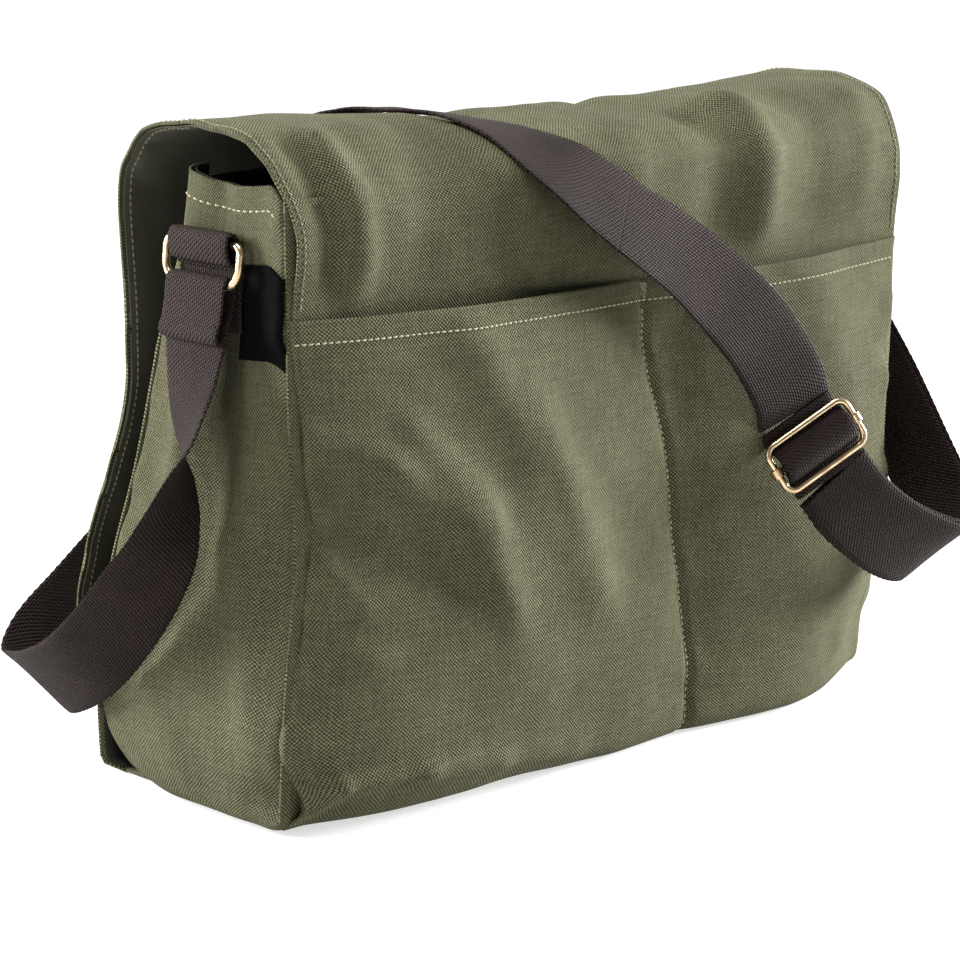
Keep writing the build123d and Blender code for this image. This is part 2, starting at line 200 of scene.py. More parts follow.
class Graph:
    """Small helper that builds a material's nodes and links them."""

    def __init__(self, name):
        self.material = bpy.data.materials.new(name)
        self.material.use_nodes = True
        self.tree = self.material.node_tree
        self.surface = self.tree.nodes["Principled BSDF"]

    def feed(self, socket, value):
        if isinstance(value, bpy.types.NodeSocket):
            self.tree.links.new(value, socket)
        elif value is not None:
            socket.default_value = value

    def math(self, operation, first, second=None, third=None):
        node = self.tree.nodes.new("ShaderNodeMath")
        node.operation = operation
        for socket, value in zip(node.inputs, (first, second, third)):
            self.feed(socket, value)
        return node.outputs[0]

    def mix(self, amount, first, second, blend="MIX"):
        node = self.tree.nodes.new("ShaderNodeMix")
        node.data_type = "RGBA"
        node.blend_type = blend
        self.feed(node.inputs[0], amount)
        self.feed(node.inputs[6], first)
        self.feed(node.inputs[7], second)
        return node.outputs[2]

    def cloth_uv(self):
        node = self.tree.nodes.new("ShaderNodeUVMap")
        node.uv_map = "cloth"
        split = self.tree.nodes.new("ShaderNodeSeparateXYZ")
        self.tree.links.new(node.outputs[0], split.inputs[0])
        return split.outputs[0], split.outputs[1]

    def noise(self, across, along, scale, detail=2.0):
        """Noise in the cloth's own plane, with the two directions scaled apart."""
        joined = self.tree.nodes.new("ShaderNodeCombineXYZ")
        self.feed(joined.inputs[0], across)
        self.feed(joined.inputs[1], along)
        node = self.tree.nodes.new("ShaderNodeTexNoise")
        node.inputs["Scale"].default_value = scale
        node.inputs["Detail"].default_value = detail
        self.tree.links.new(joined.outputs[0], node.inputs["Vector"])
        return node.outputs["Fac"]

    def stretch(self, value, low, high, out_low=0.0, out_high=1.0):
        node = self.tree.nodes.new("ShaderNodeMapRange")
        self.feed(node.inputs[0], value)
        for index, number in enumerate((low, high, out_low, out_high), start=1):
            node.inputs[index].default_value = number
        return node.outputs[0]

    def wave(self, place, pitch, shift=None):
        turned = self.math("MULTIPLY", place, 2 * pi / pitch)
        if shift is not None:
            turned = self.math("ADD", turned, shift)
        return self.math("SINE", turned)

    def bump(self, height, distance, strength, below=None):
        node = self.tree.nodes.new("ShaderNodeBump")
        node.inputs["Strength"].default_value = strength
        node.inputs["Distance"].default_value = distance
        self.feed(node.inputs["Height"], height)
        if below is not None:
            self.feed(node.inputs["Normal"], below)
        return node.outputs[0]

    def finish(self, colour, normal, roughness, sheen=0.0, shine=0.1):
        self.feed(self.surface.inputs["Base Color"], colour)
        self.feed(self.surface.inputs["Normal"], normal)
        self.feed(self.surface.inputs["Roughness"], roughness)
        self.surface.inputs["Sheen Weight"].default_value = sheen
        self.surface.inputs["Specular IOR Level"].default_value = shine
        return self.material


def plain_weave(name, dark, light, pitch, relief, wash=0.12, shine=0.1):
    """Plain-woven cloth: yarns crossing over and under, uneven yarn by yarn, with a washed, cloudy tone."""
    g = Graph(name)
    u, v = g.cloth_uv()
    drift = 0.35 * pitch
    u = g.math("ADD", u, g.stretch(g.noise(u, v, 130.0, 2.0), 0.3, 0.7, -drift, drift))
    v = g.math("ADD", v, g.stretch(g.noise(v, u, 130.0, 2.0), 0.3, 0.7, -drift, drift))
    crossing = g.math("MULTIPLY", g.wave(u, 2 * pitch), g.wave(v, 2 * pitch))
    warp_slub = g.noise(u, g.math("MULTIPLY", v, 0.12), 0.5 / pitch, 1.0)
    weft_slub = g.noise(g.math("MULTIPLY", u, 0.12), v, 0.5 / pitch, 1.0)
    fibre = g.noise(u, v, 0.9 / pitch, 1.0)
    tone = g.stretch(crossing, -0.35, 0.9, 0.0, 0.95)
    tone = g.math("ADD", tone, g.stretch(warp_slub, 0.3, 0.7, -0.07, 0.07))
    tone = g.math("ADD", tone, g.stretch(weft_slub, 0.3, 0.7, -0.07, 0.07))
    tone = g.math("ADD", tone, g.stretch(fibre, 0.3, 0.7, -0.15, 0.15))
    tone = g.math("MINIMUM", g.math("MAXIMUM", tone, 0.0), 1.0)
    colour = g.mix(tone, dark, light)
    cloud = g.stretch(g.noise(u, v, 14.0, 2.0), 0.3, 0.7, 1 - wash, 1 + wash)
    shade = g.tree.nodes.new("ShaderNodeCombineXYZ")
    for index in range(3):
        g.feed(shade.inputs[index], cloud)
    colour = g.mix(1.0, colour, shade.outputs[0], "MULTIPLY")
    yarns = g.math("ADD", g.math("MULTIPLY", crossing, 0.5), g.math("MULTIPLY", fibre, 0.5))
    return g.finish(colour, g.bump(yarns, relief, 0.8), 0.88, 0.0, shine)


def webbing_cloth(name, dark, light):
    """Heavy cotton webbing: ribs along the strap, each made of slanting floats."""
    rib, float_length, relief = 1.3 * MM, 1.9 * MM, 0.5 * MM
    g = Graph(name)
    along, across = g.cloth_uv()
    ribs = g.wave(across, rib)
    slant = g.wave(along, float_length, g.math("MULTIPLY", across, pi / rib))
    height = g.math("ADD", g.math("MULTIPLY", ribs, 0.45), g.math("MULTIPLY", slant, 0.55))
    fibre = g.noise(along, across, 1400.0, 2.0)
    tone = g.math("ADD", g.math("MULTIPLY_ADD", height, 0.36, 0.42), g.stretch(fibre, 0.3, 0.7, -0.25, 0.25))
    tone = g.math("MINIMUM", g.math("MAXIMUM", tone, 0.0), 1.0)
    colour = g.mix(tone, dark, light)
    worn = g.stretch(g.noise(along, across, 30.0, 2.0), 0.35, 0.7, 0.85, 1.2)
    shade = g.tree.nodes.new("ShaderNodeCombineXYZ")
    for index in range(3):
        g.feed(shade.inputs[index], worn)
    colour = g.mix(1.0, colour, shade.outputs[0], "MULTIPLY")
    return g.finish(colour, g.bump(g.math("ADD", height, fibre), relief, 1.0), 0.75, 0.0, 0.12)


def thread(name, colour):
    """Twisted sewing thread."""
    g = Graph(name)
    place = g.tree.nodes.new("ShaderNodeTexCoord")
    noise = g.tree.nodes.new("ShaderNodeTexNoise")
    noise.inputs["Scale"].default_value = 900.0
    g.tree.links.new(place.outputs["Object"], noise.inputs["Vector"])
    darker = tuple(c * 0.7 for c in colour[:3]) + (1,)
    tint = g.mix(g.stretch(noise.outputs["Fac"], 0.35, 0.65), darker, colour)
    return g.finish(tint, g.bump(noise.outputs["Fac"], 0.2 * MM, 0.4), 0.6, 0.1)


def old_brass(name):
    """Pale antique brass wire with fine rub marks and darker, duller patches."""
    g = Graph(name)
    place = g.tree.nodes.new("ShaderNodeTexCoord")
    cloud = g.tree.nodes.new("ShaderNodeTexNoise")
    cloud.inputs["Scale"].default_value = 180.0
    cloud.inputs["Detail"].default_value = 4.0
    g.tree.links.new(place.outputs["Object"], cloud.inputs["Vector"])
    wear = g.stretch(cloud.outputs["Fac"], 0.4, 0.65)
    tint = g.mix(wear, (0.80, 0.62, 0.38, 1), (0.55, 0.38, 0.22, 1))
    g.surface.inputs["Metallic"].default_value = 1.0
    relief = g.bump(cloud.outputs["Fac"], 0.05 * MM, 0.3)
    g.finish(tint, relief, g.stretch(cloud.outputs["Fac"], 0.3, 0.7, 0.18, 0.36))
    return g.material


CANVAS = plain_weave("olive_canvas", (0.028, 0.028, 0.013, 1), (0.180, 0.176, 0.104, 1), 0.85 * MM, 0.45 * MM)
FLAP_LINING = plain_weave(
    "flap_lining", (0.065, 0.064, 0.048, 1), (0.105, 0.104, 0.080, 1), 0.4 * MM, 0.06 * MM, 0.1
)
BODY_LINING = plain_weave(
    "body_lining", (0.010, 0.010, 0.009, 1), (0.035, 0.034, 0.030, 1), 0.5 * MM, 0.1 * MM, 0.1
)
PATCH = plain_weave(
    "black_patch", (0.001, 0.001, 0.001, 1), (0.006, 0.006, 0.006, 1), 0.6 * MM, 0.2 * MM, 0.1, 0.02
)
WEBBING = webbing_cloth("brown_webbing", (0.003, 0.0017, 0.0014, 1), (0.047, 0.031, 0.027, 1))
CREAM = thread("cream_thread", (0.44, 0.41, 0.27, 1))
TONAL = thread("olive_thread", (0.21, 0.205, 0.125, 1))
BRASS = old_brass("antique_brass")


# ---------------------------------------------------------------- meshes


def add_mesh(name, points, faces, uvs, material, smooth=True):
    """Mesh object from lists, with one UV pair per point."""
    mesh = bpy.data.meshes.new(name)
    mesh.from_pydata([tuple(p) for p in points], [], faces)
    layer = mesh.uv_layers.new(name="cloth")
    corners = np.empty(len(mesh.loops), int)
    mesh.loops.foreach_get("vertex_index", corners)
    layer.data.foreach_set("uv", np.asarray(uvs, float)[corners].ravel())
    mesh.polygons.foreach_set("use_smooth", [smooth] * len(mesh.polygons))
    mesh.materials.append(material)
    mesh.update()
    piece = bpy.data.objects.new(name, mesh)
    bpy.context.scene.collection.objects.link(piece)
    return piece


def grid_normals(points):
    """Unit normals of a grid of points, on the side where rows turn into columns by the right hand."""
    rows = np.gradient(points, axis=0)
    columns = np.gradient(points, axis=1)
    normals = np.cross(rows, columns)
    return normals / np.maximum(np.linalg.norm(normals, axis=2, keepdims=True), 1e-12)


def cloth_lengths(points):
    """UVs in metres: mean distances along both directions of a grid."""
    across = np.linalg.norm(np.diff(points, axis=0), axis=2).mean(axis=1)
    down = np.linalg.norm(np.diff(points, axis=1), axis=2).mean(axis=0)
    u = np.concatenate([[0], np.cumsum(across)])
    v = np.concatenate([[0], np.cumsum(down)])
    return np.stack(np.meshgrid(u, v, indexing="ij"), axis=2)


def cloth_piece(name, points, thickness, material, uvs=None):
    """Closed sheet of cloth: the grid is its outer face, and the inner face lies one thickness behind."""
    rows, columns = points.shape[:2]
    uvs = cloth_lengths(points) if uvs is None else uvs
    inner = points - grid_normals(points) * thickness
    count = rows * columns
    index = np.arange(count).reshape(rows, columns)
    quads = np.stack([index[:-1, :-1], index[1:, :-1], index[1:, 1:], index[:-1, 1:]], axis=2).reshape(-1, 4)
    rim = np.concatenate([index[:-1, 0], index[-1, :-1], index[:0:-1, -1], index[0, :0:-1]])
    nxt = np.roll(rim, -1)
    walls = np.stack([rim, rim + count, nxt + count, nxt], axis=1)
    faces = quads.tolist() + (quads[:, ::-1] + count).tolist() + walls.tolist()
    flat = np.concatenate([points.reshape(-1, 3), inner.reshape(-1, 3)])
    return add_mesh(name, flat, faces, np.concatenate([uvs.reshape(-1, 2)] * 2), material)


def stitch_row(name, path, normals, material, length=2.3 * MM, pitch=3.05 * MM, radius=0.42 * MM):
    """Row of sewn stitches along a path: each is a short rounded thread, sunk at both ends."""
    path, normals = np.asarray(path, float), np.asarray(normals, float)
    steps = np.linalg.norm(np.diff(path, axis=0), axis=1)
    reach = np.concatenate([[0], np.cumsum(steps)])
    count = int(reach[-1] / pitch)
    points, faces, uvs = [], [], []
    stations = ((-1, 0.35, -0.7), (-0.7, 0.85, 0.1), (0, 1, 0.5), (0.7, 0.85, 0.1), (1, 0.35, -0.7))
    sides = 6
    for number in range(count):
        middle = (number + 0.5) * pitch
        spots = []
        for end in (-1, 0, 1):
            at = middle + end * length / 2
            spots.append(np.array([np.interp(at, reach, path[:, k]) for k in range(3)]))
        up = np.array([np.interp(middle, reach, normals[:, k]) for k in range(3)])
        up /= np.linalg.norm(up)
        along = spots[2] - spots[0]
        along /= np.linalg.norm(along)
        side = np.cross(along, up)
        first = len(points)
        for place, thick, lift in stations:
            centre = spots[1] + along * place * length / 2 + up * lift * radius
            for k in range(sides):
                angle = 2 * pi * k / sides
                points.append(centre + (side * np.cos(angle) + up * np.sin(angle)) * radius * thick)
                uvs.append((number * pitch, 0))
        for ring in range(len(stations) - 1):
            for k in range(sides):
                a, b = first + ring * sides + k, first + ring * sides + (k + 1) % sides
                faces.append((a, b, b + sides, a + sides))
        faces.append(tuple(first + k for k in reversed(range(sides))))
        faces.append(tuple(first + (len(stations) - 1) * sides + k for k in range(sides)))
    return add_mesh(name, points, faces, uvs, material)


def row_on(points, wanted):
    """Path and normals on a grid of points, for a list of (row, column) places given as fractions."""
    normals = grid_normals(points)
    rows, columns = points.shape[0] - 1, points.shape[1] - 1
    path, ups = [], []
    for row, column in wanted:
        i, j = row * rows, column * columns
        i0, j0 = min(int(i), rows - 1), min(int(j), columns - 1)
        s, t = i - i0, j - j0
        for source, target in ((points, path), (normals, ups)):
            value = (source[i0, j0] * (1 - s) + source[i0 + 1, j0] * s) * (1 - t)
            value = value + (source[i0, j0 + 1] * (1 - s) + source[i0 + 1, j0 + 1] * s) * t
            target.append(value)
    return path, ups


# ---------------------------------------------------------------- shape of the bag

RIM = 264 * MM
BACK = 58 * MM
POCKET_TOP = 212 * MM
FOOT = 8 * MM  # how high the rounding along the base reaches
FRONT_LINE = [(0, -66), (30, -70), (92, -63), (138, -46), (193, -29), (246, -14), (266, -10)]  # (z, y) in mm
# (z, how far the middle of the front stands out)
FRONT_SWELL = [(0, 2), (60, 8), (110, 6), (170, 4), (230, 14), (266, 18)]


def half_length(z):
    """Half of the bag's length at a height: the ends lean in and sag a little between base and rim."""
    return (190 - 7 * z / RIM - 3.0 * np.sin(pi * np.clip(z / RIM, 0, 1))) * MM


def foot(z):
    """How far the faces curve in where they turn under the bag."""
    t = np.clip((FOOT - z) / FOOT, 0, 1)
    return FOOT * (1 - np.sqrt(1 - t * t))


def front_line(z):
    return curve(FRONT_LINE, z / MM) * MM


# How far the back corners are drawn in, by height in mm: the near one is pinched, the far one rounds off
# low down.
CORNER_PINCH = [
    (0, 0), (14, 6.5), (39, -2.5), (53, 0), (87, 5.5), (105, 8.5),
    (124, 11), (150, 7.0), (174, 3.0), (212, -1.0),
    (264, 0),
]  # fmt: skip
FAR_CORNER = 22.0
# (x, height of the low crease)
CREASE = [(-190, 3), (0, 6), (40, 10), (86, 15), (126, 18), (169, 17), (190, 9)]


def corner_pinch(side, high):
    """Inset of a back corner along X, in mm."""
    return curve(CORNER_PINCH, high) * (1.0 if side > 0 else 0.35)


def seam_wobble(high, side):
    """How far a back corner seam wanders along X, in mm."""
    return 1.3 * lumps(high, 0 * high, 15, 35 + side) + 0.7 * lumps(high, 0 * high, 8, 45 + side)


def far_corner(place, high):
    """How far the back gives way towards the front at the far low corner, in mm."""
    return FAR_CORNER * smooth_step(-100, -192, place) * smooth_step(115, 0, high)


def grid(first, second):
    """Two parameter grids from two lists of values."""
    return np.meshgrid(first, second, indexing="ij")


def front_points(inset=0.0):
    """Front panel: swells in the middle and leans back towards the rim."""
    u, z = grid(np.linspace(-1, 1, 90), np.linspace(0, RIM, 70))
    x = u * (half_length(z) - foot(z) - inset - 6 * MM * smooth_step(185, 262, z / MM))
    y = front_line(z) + foot(z) + inset - curve(FRONT_SWELL, z / MM) * (1 - u * u) * MM
    y = y + lumps(x, z, 60 * MM, 3) * 2.0 * MM * (1 - u**8)
    return np.stack([x, y, z + inset * (z < FOOT)], axis=2)


def back_points(inset=0.0):
    """Back panel, which the pocket and the flap cover."""
    u, z = grid(np.linspace(1, -1, 60), np.linspace(0, RIM - 3 * MM, 50))
    x = u * (half_length(z) - foot(z) - inset - 4 * MM * hill(z / MM, 115, 40))
    y = BACK - foot(z) - inset - far_corner(u * 190, z / MM) * MM
    return np.stack([x, y, z + inset * (z < FOOT)], axis=2)


def gusset_points(side, inset=0.0):
    """End panel: bulges low down, folds in softly towards the rim and puckers along its back seam."""
    s, z = grid(np.linspace(0, 1, 80)[::-side], np.linspace(0, 1, 110))
    dip = 4.5 * np.sin(pi * s) - 1.5 * s
    dip = dip + 9.0 * np.clip(1 - s / 0.16, 0, 1) ** 2
    z = z * (RIM + (4.0 - dip) * MM)
    high = z / MM
    front = front_line(z) + foot(z) + inset
    back = BACK - 0.6 * MM - foot(z) - inset - (far_corner(-190, high) * MM if side < 0 else 0)
    round_corner = 26 * MM * np.clip((40 * MM - z) / (40 * MM), 0, 1) ** 2.4
    y = back + (front + round_corner * 0.75 - back) * s
    bulge = 5.0 * np.sin(pi * s) * hill(high, 55, 75)
    bulge += fold(s * 100, high, (80, 240), (62, 90), 3.6, 9)
    bulge += fold(s * 100, high, (58, 262), (52, 190), -3.2, 10)
    bulge += fold(s * 100, high, (44, 150), (30, 60), -3.0, 11)
    bulge += fold(s * 100, high, (30, 110), (10, 30), 2.2, 9)
    bulge += fold(s * 100, high, (76, 60), (52, 20), 2.2, 9)
    bulge += 1.3 * lumps(s * 100, high, 26, 11 + side) * np.sin(pi * s)
    bulge *= 1 - 0.85 * hill(high, 222, 32)
    bulge -= corner_pinch(side, high) * hill(s, 0, 0.16)
    pucker = 2.0 * lumps(s * 30, high, 12, 21 + side) * hill(s, 0.04, 0.09)
    pucker += 1.0 * lumps(s * 30, high, 13, 23 + side) * hill(s, 0.97, 0.07)
    pucker += seam_wobble(high, side) * hill(s, 0, 0.1)
    pucker -= 7.0 * np.clip((s - 0.88) / 0.12, 0, 1) ** 2 * smooth_step(185, 262, high)
    edge = np.minimum(s, 1 - s)
    turn = 3.8 * (1 - np.sqrt(1 - np.clip(1 - edge / 0.045, 0, 1) ** 2))
    x = half_length(z) - foot(z) * 0.9 - round_corner * s**6 * 0.35 - inset + (bulge + pucker - turn) * MM
    return np.stack([side * x, y, z + inset * (z < FOOT)], axis=2)


def base_points(inset=0.0):
    """Base panel between the feet of the four walls."""
    u, v = grid(np.linspace(1, -1, 40), np.linspace(0, 1, 24))
    x = u * (half_length(0 * u) - FOOT * 0.9 - inset)
    front = front_line(0 * u) + FOOT + inset - 2 * MM * (1 - u * u)
    back = BACK - FOOT - inset - far_corner(u * 190, 0 * u) * MM + (7 * MM - inset * 3) * (1 - u**6)
    y = front + (back - front) * v
    return np.stack([x, y, 0.9 * MM + inset + 0 * u], axis=2)


# (z, x) of the seam that divides the pocket
DIVIDER_LINE = [(0, -39), (30, -41), (60, -39), (85, -35), (137, -27), (175, -15), (200, -12), (214, -11)]
POCKET_BULGE = [(0, 13), (30, 15), (75, 15.5), (130, 14), (180, 10.5), (212, 7.5)]  # (z, arch depth) in mm
# Folds of the pocket panel: (start, end, height, width), with places as (x, z) in mm.
POCKET_FOLDS = [
    ((97, 194), (63, 149), 4.0, 15),
    ((63, 149), (28, 84), 5.0, 15),
    ((128, 158), (97, 123), 3.4, 9),
    ((97, 123), (84, 88), 4.0, 10),
    ((187, 168), (143, 150), 2.6, 8),
    ((143, 150), (111, 123), 2.6, 8),
    ((111, 123), (95, 98), 2.2, 8),
    ((156, 116), (116, 97), -3.2, 10),
    ((76, 172), (52, 118), -1.6, 8),
    ((187, 118), (160, 96), 2.4, 8),
    ((188, 10), (169, 19), 3.2, 4),
    ((169, 19), (126, 20), 2.8, 4.5),
    ((126, 20), (86, 17), 2.0, 5),
    ((86, 17), (40, 12), 1.2, 6),
    ((186, 82), (150, 72), 1.8, 8),
    ((-30, 178), (-45, 60), -2.4, 14),
    ((-80, 120), (-140, 60), 2.2, 22),
    ((-120, 200), (-150, 120), 1.8, 16),
    ((-182, 60), (-150, 30), 1.8, 9),
]


def pocket_points():
    """Wide pocket panel: two full arches, drawn in at the centre seam and puckered along every seam."""
    u, t = grid(np.linspace(1, -1, 240), np.linspace(0, 1, 150))
    sag = 2.2 * (1 - u * u) + 1.8 * hill(u, -0.45, 0.3)
    z = t * (POCKET_TOP + (1.2 - sag) * MM)
    high, place = z / MM, u * 189
    half = np.abs(u)
    divider = curve(DIVIDER_LINE, high)
    near_reach = (place - divider) / (189 - divider)
    far_reach = (divider - place) / (189 + divider)
    reach = np.where(place > divider, near_reach, far_reach)
    arch = np.clip(1 - ((reach - 0.5) / 0.5) ** 2, 0, 1) ** 0.85
    swell = curve(POCKET_BULGE, high)
    near = smooth_step(-60, 120, place)
    y = 1.6 + swell * ((0.55 + 0.4 * near) * arch + 0.36 * (1 - u**4))
    y += 4.0 * hill(place, 135, 45) * smooth_step(60, 0, high)
    seam = hill(place, divider, 2.2)
    y -= 1.9 * seam * smooth_step(210, 190, high)
    for start, end, height, width in POCKET_FOLDS:
        y += fold(place, high, start, end, height, width)
    y += 1.3 * lumps(place, high, 42, 31) * (1 - u**6)
    y += 0.45 * lumps(place, high, 16, 32) * (1 - u**6)
    beside_seam = hill(np.abs(place - divider), 7, 8) * smooth_step(208, 195, high)
    y += 0.8 * lumps(place * 0.3, high, 9, 33) * beside_seam
    beside_edge = hill(189 - np.abs(place), 5, 10) * smooth_step(211, 200, high)
    y += 2.2 * lumps(place * 0.25, high, 12, 34) * beside_edge
    y -= 3.0 * hill(high, 122, 16) * smooth_step(140, 189, place)
    low = curve(CREASE, place)
    y -= 11.0 * np.clip(1 - high / low, 0, 1) ** 1.4 * smooth_step(0, 70, place)
    y -= far_corner(place, high)
    hem = smooth_step(188, 192, high) * 0.7
    y += hem - 0.5 * hill(high, 202, 1.6)
    turn = np.clip(1 - (189 - np.abs(place)) / 6.0, 0, 1)
    y -= 3.4 * (1 - np.sqrt(1 - turn**2)) + 0.4
    pinch = np.where(u > 0, corner_pinch(1, high), corner_pinch(-1, high)) * smooth_step(0.8, 1.0, half)
    wobble = np.where(u > 0, seam_wobble(high, 1), seam_wobble(high, -1)) * smooth_step(0.85, 1.0, half)
    x = u * (half_length(z) + (1.4 - pinch + wobble - 3.4 * turn**3) * MM - foot(z) * 0.9)
    return np.stack([x, BACK + y * MM - foot(z), z], axis=2)


# ---------------------------------------------------------------- shape of the flap

# Side view of the flap in mm, (y, z), from inside the back pocket over the top to the lower edge.
END_PROFILE = [
    (59.4, 196), (61.5, 222), (63.5, 243), (61, 258), (55, 269),
    (46, 278), (34, 284), (16, 287.3), (-4, 287.5),
    (-22, 285.5), (-34, 281), (-42.5, 271), (-46.5, 258), (-46.5, 236), (-44.5, 200), (-46, 170), (-57, 142),
    (-67, 120), (-78, 98), (-85, 76), (-86, 54), (-80, 23),
]  # fmt: skip
MIDDLE_PROFILE = [
    (59.4, 196), (63, 222), (64.5, 243), (62, 258), (56, 268), (46, 277), (33, 283), (16, 286), (-4, 286),
    (-22, 284.5), (-35, 280), (-45, 271), (-50, 258), (-51.5, 236), (-51.5, 200), (-55, 170), (-65, 142),
    (-75, 120), (-84, 98), (-89, 76), (-89, 54), (-83, 23),
]  # fmt: skip
TOP_DIP = [
    (-190, 0), (-157, 1.2), (-121, 3.5), (-91, 6.5), (-73, 9),
    (-57, 12.5), (-46, 10.5), (-30, 8.5), (-10, 6.6),
    (14, 6.8), (32, 8.6), (48, 8.8), (64, 7.5), (84, 3.5), (110, 0.8), (190, 0),
]  # fmt: skip
FLAP_STEP = 16  # mm of cloth between two profile points, on average
# Folds of the flap: (start, end, height, width), with places as (x, mm of cloth down from the root).
FLAP_FOLDS = [
    ((-88, 14), (-86, 92), 5.5, 12),
    ((-124, 16), (-126, 78), -3.0, 16),
    ((-60, 16), (-56, 84), -3.5, 13),
    ((-160, 30), (-166, 84), 1.8, 10),
    ((154, 14), (154, 84), 4.6, 9),
    ((171, 16), (170, 80), -2.8, 7),
    ((120, 20), (104, 88), -2.4, 14),
    ((60, 24), (76, 90), 2.4, 14),
    ((10, 20), (-14, 80), 2.0, 14),
    ((-40, 112), (-92, 86), 3.0, 11),
    ((-10, 128), (-70, 150), 2.6, 12),
    ((70, 120), (128, 96), 1.6, 14),
    ((120, 160), (60, 208), 2.0, 14),
    ((-60, 192), (-90, 288), 2.2, 22),
    ((60, 208), (90, 304), -2.4, 24),
    ((150, 200), (160, 310), 1.8, 16),
    ((-150, 210), (-140, 320), -1.8, 18),
]
FLAP_SPLIT = 8  # profile point where the back piece and the front piece of the flap meet
ROOT_HALF = 181 * MM
FLAP_HALF = 187 * MM
FLAP_CORNER = 30.0  # mm
FLAP_BOTTOM = 23.0  # mm
FLAP_STITCH = 2.6 * MM


def profile_at(z):
    """Profile point, as a fraction between two points, at a height on the hanging front of the flap."""
    heights = [point[1] for point in END_PROFILE[FLAP_SPLIT:]]
    return np.interp(-z, [-height for height in heights], np.arange(FLAP_SPLIT, len(END_PROFILE)))


def corner_rise(place, corner, start):
    """Height in mm of the flap's rounded lower corner over its lower edge."""
    off = np.clip(np.abs(place) - start, 0, corner)
    return corner - np.sqrt(corner**2 - off**2)


def flap_points(first, last, rows, columns):
    """Part of the flap between two of its profile points. Its lower corners are rounded."""
    s, t = grid(np.linspace(pi / 2, -pi / 2, rows), np.linspace(first, last, columns))
    u = np.sin(s)
    place = u * FLAP_HALF / MM
    if last > FLAP_SPLIT:
        rise = corner_rise(place, FLAP_CORNER, FLAP_HALF / MM - FLAP_CORNER)
        t = first + (t - first) * (profile_at(FLAP_BOTTOM + rise) - first) / (last - first)
    order = np.arange(len(END_PROFILE))
    middle = 1 - np.abs(u) ** 2.6
    y, z = 0, 0
    for share, profile in ((1 - middle, END_PROFILE), (middle, MIDDLE_PROFILE)):
        y = y + share * curve(list(zip(order, [p[0] for p in profile])), t)
        z = z + share * curve(list(zip(order, [p[1] for p in profile])), t)
    top = hill(t, 7.8, 2.6)
    dip = curve(TOP_DIP, place)
    z = z - dip * top
    y = y + 0.6 * dip * hill(t, 4, 1.6) - 0.3 * dip * hill(t, 11, 1.8)

    down = t * FLAP_STEP
    out = 1.5 * lumps(place, down, 38, 41) + 0.5 * lumps(place, down, 15, 42)
    for start, end, height, width in FLAP_FOLDS:
        out += fold(place, down, start, end, height, width)
    edge = hill(FLAP_HALF / MM - np.abs(place), 4, 8)
    out += 0.7 * lumps(place * 0.2, down, 10, 43) * edge
    out *= smooth_step(0.4, 1.6, t)
    out -= smooth_step(2.2, 1.0, t) * np.abs(u) ** 6 * 1.5

    half = FLAP_HALF + (ROOT_HALF - FLAP_HALF) * smooth_step(5.5, 2.0, t)
    x = u * half
    slope_y = np.gradient(y, axis=1)
    slope_z = np.gradient(z, axis=1)
    size = np.hypot(slope_y, slope_z)
    y = y + out * slope_z / size
    z = z - out * slope_y / size
    return np.stack([x, y * MM, z * MM], axis=2)


# ---------------------------------------------------------------- body of the bag

CLOTH = 1.4 * MM
SKIN = 0.7 * MM
RIM_HEM_SHARE = 0.962  # height of the gusset's hem stitches, as a share of the gusset
POCKET_HEM_SHARE = 0.956  # height of the pocket's hem stitches, as a share of the pocket
TACK_STEPS = 15  # zigzags in the bar tack
TACK_HALF = 0.0055  # half of the bar tack's width, as a share of the pocket's length


def body_sheet(name, points, thickness, material, slot, *nodes):
    """Sheet of cloth sewn into the bag, which it rides on."""
    piece = cloth_piece(name, points, thickness, material)
    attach(piece, "bag")
    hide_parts(*nodes)
    return piece


def make_walls():
    """Walls and base with their lining."""
    lap = 2.0 * MM
    for name, shape in (("front", front_points), ("back", back_points), ("base", base_points)):
        body_sheet(f"{name}_cloth", shape(), CLOTH, CANVAS, "olive_canvas", f"{name}_panel")
        body_sheet(f"{name}_skin", shape(lap), SKIN, BODY_LINING, "body_lining", f"lining_{name}_panel")
    for name, side in (("right", 1), ("left", -1)):
        outer, inner = f"gusset_{name}", f"lining_gusset_{name}"
        body_sheet(f"gusset_cloth_{name}", gusset_points(side), CLOTH, CANVAS, "olive_canvas", outer)
        body_sheet(f"gusset_skin_{name}", gusset_points(side, lap), SKIN, BODY_LINING, "body_lining", inner)


def make_end_details():
    """Hem stitches and sewn patch on each end of the bag."""
    for name, side in (("right", 1), ("left", -1)):
        points = gusset_points(side)
        wanted = [(row, RIM_HEM_SHARE) for row in np.linspace(0.02, 0.98, 90)]
        sewn(f"rim_stitches_{name}", points, wanted, "bag", CREAM, length=2.9 * MM, pitch=4.0 * MM)
        patch_rows = (0.01, 0.33) if side < 0 else (0.67, 0.99)
        rows, columns = points.shape[:2]
        i0, i1 = (int(share * (rows - 1)) for share in patch_rows)
        j0, j1 = int(0.73 * columns), int(0.875 * columns)
        patch_points = (points + grid_normals(points) * 0.9 * MM)[i0 : i1 + 1, j0 : j1 + 1]
        patch = cloth_piece(f"patch_cloth_{name}", patch_points, 0.7 * MM, PATCH)
        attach(patch, "bag")
        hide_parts(f"side_patch_{name}")


